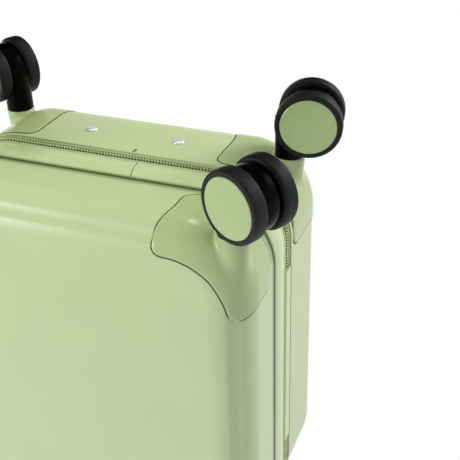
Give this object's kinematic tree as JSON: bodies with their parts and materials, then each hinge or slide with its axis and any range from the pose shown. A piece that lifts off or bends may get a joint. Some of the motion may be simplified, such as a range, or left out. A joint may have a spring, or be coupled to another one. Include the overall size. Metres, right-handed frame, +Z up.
{
  "type": "hard shell suitcase on wheels",
  "caption": "Hard shell cabin suitcase with a hinged front half, zip closure, telescopic trolley, folding handles, dial lock and swivelling double wheels.",
  "frame": {"origin": "centre of the bounding box at the floor, where the tyres touch it", "axes": "+Z up with the case standing on its wheels, the front face towards -Y, the hinged side at -X and the lock side at +X"},
  "size_m": [0.4072, 0.245, 0.4585],
  "materials": {
    "shell": "satin textured",
    "band": "satin",
    "guard": "satin",
    "zipper_tape": "woven",
    "lining": "woven",
    "steel": "plated",
    "rivet": "polished",
    "dark_plastic": "fine texture",
    "tube": "anodised",
    "button": "matte",
    "fork": "gloss",
    "tyre": "matte",
    "cap": "satin"
  },
  "bodies": {
    "front_half": {"front_shell": "shell", "rim_band": "band", "hinge_strip": "band", "front_zipper_tape": "zipper_tape", "front_liner": "lining", "front_guard_left": "guard", "front_guard_right": "guard", "front_swivel_pins": "steel"},
    "back_half": {"back_shell": "shell", "back_zipper_tape": "zipper_tape", "back_liner": "lining", "back_guard_left": "guard", "back_guard_right": "guard", "back_swivel_pins": "steel", "foot_rivets": "rivet", "trolley_foot": "dark_plastic", "trolley_outer_tubes": "tube", "trolley_tray": "dark_plastic", "trolley_bezel": "dark_plastic", "top_handle_mounts": "guard", "side_handle_mounts": "guard", "lock_housing": "guard"},
    "trolley_mid": {"trolley_mid_tubes": "tube"},
    "trolley_inner": {"trolley_inner_tubes": "tube", "trolley_grip": "dark_plastic"},
    "trolley_push": {"trolley_button": "button"},
    "top_bail": {"top_handle": "guard"},
    "side_bail": {"side_handle": "guard"},
    "dial_1": {"lock_dial_1": "dark_plastic"},
    "dial_2": {"lock_dial_2": "dark_plastic"},
    "dial_3": {"lock_dial_3": "dark_plastic"},
    "lock_push": {"lock_button": "button"},
    "slider_up": {"upper_slider": "steel"},
    "pull_up": {"upper_pull": "steel"},
    "slider_low": {"lower_slider": "steel"},
    "pull_low": {"lower_pull": "steel"},
    "front_left_swivel": {"front_left_fork": "fork", "front_left_axle": "steel"},
    "front_left_roller_a": {"front_left_wheel_a": "tyre", "front_left_cap_a": "cap"},
    "front_left_roller_b": {"front_left_wheel_b": "tyre", "front_left_cap_b": "cap"},
    "back_left_swivel": {"back_left_fork": "fork", "back_left_axle": "steel"},
    "back_left_roller_a": {"back_left_wheel_a": "tyre", "back_left_cap_a": "cap"},
    "back_left_roller_b": {"back_left_wheel_b": "tyre", "back_left_cap_b": "cap"},
    "front_right_swivel": {"front_right_fork": "fork", "front_right_axle": "steel"},
    "front_right_roller_a": {"front_right_wheel_a": "tyre", "front_right_cap_a": "cap"},
    "front_right_roller_b": {"front_right_wheel_b": "tyre", "front_right_cap_b": "cap"},
    "back_right_swivel": {"back_right_fork": "fork", "back_right_axle": "steel"},
    "back_right_roller_a": {"back_right_wheel_a": "tyre", "back_right_cap_a": "cap"},
    "back_right_roller_b": {"back_right_wheel_b": "tyre", "back_right_cap_b": "cap"}
  },
  "joints": [
    {"name": "lid_hinge", "type": "hinge", "parent": "back_half", "child": "front_half", "pos_m": [-0.17, 0.0125, 0.2545], "axis": [0, 0, -1], "range_deg": [0, 125]},
    {"name": "trolley_lower_stage", "type": "slide", "parent": "back_half", "child": "trolley_mid", "axis": [0, 0, 1], "range_m": [0, 0.28]},
    {"name": "trolley_upper_stage", "type": "slide", "parent": "trolley_mid", "child": "trolley_inner", "axis": [0, 0, 1], "range_m": [0, 0.28]},
    {"name": "trolley_button_press", "type": "slide", "parent": "trolley_inner", "child": "trolley_push", "axis": [0, 0, -1], "range_m": [0, 0.003], "stiffness_N_per_m": 400},
    {"name": "top_handle_swing", "type": "hinge", "parent": "back_half", "child": "top_bail", "pos_m": [0, 0.04, 0.453], "axis": [1, 0, 0], "range_deg": [0, 100]},
    {"name": "side_handle_swing", "type": "hinge", "parent": "back_half", "child": "side_bail", "pos_m": [0.174, 0.044, 0.2545], "axis": [0, 0, -1], "range_deg": [0, 100]},
    {"name": "dial_1_turn", "type": "hinge", "parent": "back_half", "child": "dial_1", "pos_m": [0.1665, 0.026, 0.2515], "axis": [0, 0, 1], "continuous": true},
    {"name": "dial_2_turn", "type": "hinge", "parent": "back_half", "child": "dial_2", "pos_m": [0.1665, 0.026, 0.2425], "axis": [0, 0, 1], "continuous": true},
    {"name": "dial_3_turn", "type": "hinge", "parent": "back_half", "child": "dial_3", "pos_m": [0.1665, 0.026, 0.2335], "axis": [0, 0, 1], "continuous": true},
    {"name": "lock_button_press", "type": "slide", "parent": "back_half", "child": "lock_push", "axis": [-1, 0, 0], "range_m": [0, 0.003], "stiffness_N_per_m": 400},
    {"name": "upper_slider_run", "type": "slide", "parent": "back_half", "child": "slider_up", "axis": [0, 0, 1], "range_m": [0, 0.08]},
    {"name": "upper_pull_swing", "type": "hinge", "parent": "slider_up", "child": "pull_up", "pos_m": [0.1717, 0.00525, 0.2945], "axis": [0, -1, 0], "range_deg": [0, 165]},
    {"name": "lower_slider_run", "type": "slide", "parent": "back_half", "child": "slider_low", "axis": [0, 0, -1], "range_m": [0, 0.11]},
    {"name": "lower_pull_swing", "type": "hinge", "parent": "slider_low", "child": "pull_low", "pos_m": [0.1717, 0.00525, 0.2495], "axis": [0, -1, 0], "range_deg": [0, 165]},
    {"name": "front_left_turn", "type": "hinge", "parent": "front_half", "child": "front_left_swivel", "pos_m": [-0.151, -0.082, 0.067], "axis": [0, 0, 1], "continuous": true},
    {"name": "front_left_roll_a", "type": "hinge", "parent": "front_left_swivel", "child": "front_left_roller_a", "pos_m": [-0.16731, -0.08961, 0.03], "axis": [0.4226, -0.9063, 0], "continuous": true},
    {"name": "front_left_roll_b", "type": "hinge", "parent": "front_left_swivel", "child": "front_left_roller_b", "pos_m": [-0.16731, -0.08961, 0.03], "axis": [0.4226, -0.9063, 0], "continuous": true},
    {"name": "back_left_turn", "type": "hinge", "parent": "back_half", "child": "back_left_swivel", "pos_m": [-0.149, 0.064, 0.067], "axis": [0, 0, 1], "continuous": true},
    {"name": "back_left_roll_a", "type": "hinge", "parent": "back_left_swivel", "child": "back_left_roller_a", "pos_m": [-0.16661, 0.06774, 0.03], "axis": [-0.2079, -0.9781, 0], "continuous": true},
    {"name": "back_left_roll_b", "type": "hinge", "parent": "back_left_swivel", "child": "back_left_roller_b", "pos_m": [-0.16661, 0.06774, 0.03], "axis": [-0.2079, -0.9781, 0], "continuous": true},
    {"name": "front_right_turn", "type": "hinge", "parent": "front_half", "child": "front_right_swivel", "pos_m": [0.149, -0.064, 0.067], "axis": [0, 0, 1], "continuous": true},
    {"name": "front_right_roll_a", "type": "hinge", "parent": "front_right_swivel", "child": "front_right_roller_a", "pos_m": [0.16661, -0.06774, 0.03], "axis": [0.2079, 0.9781, 0], "continuous": true},
    {"name": "front_right_roll_b", "type": "hinge", "parent": "front_right_swivel", "child": "front_right_roller_b", "pos_m": [0.16661, -0.06774, 0.03], "axis": [0.2079, 0.9781, 0], "continuous": true},
    {"name": "back_right_turn", "type": "hinge", "parent": "back_half", "child": "back_right_swivel", "pos_m": [0.151, 0.082, 0.067], "axis": [0, 0, 1], "continuous": true},
    {"name": "back_right_roll_a", "type": "hinge", "parent": "back_right_swivel", "child": "back_right_roller_a", "pos_m": [0.16731, 0.08961, 0.03], "axis": [-0.4226, 0.9063, 0], "continuous": true},
    {"name": "back_right_roll_b", "type": "hinge", "parent": "back_right_swivel", "child": "back_right_roller_b", "pos_m": [0.16731, 0.08961, 0.03], "axis": [-0.4226, 0.9063, 0], "continuous": true}
  ]
}
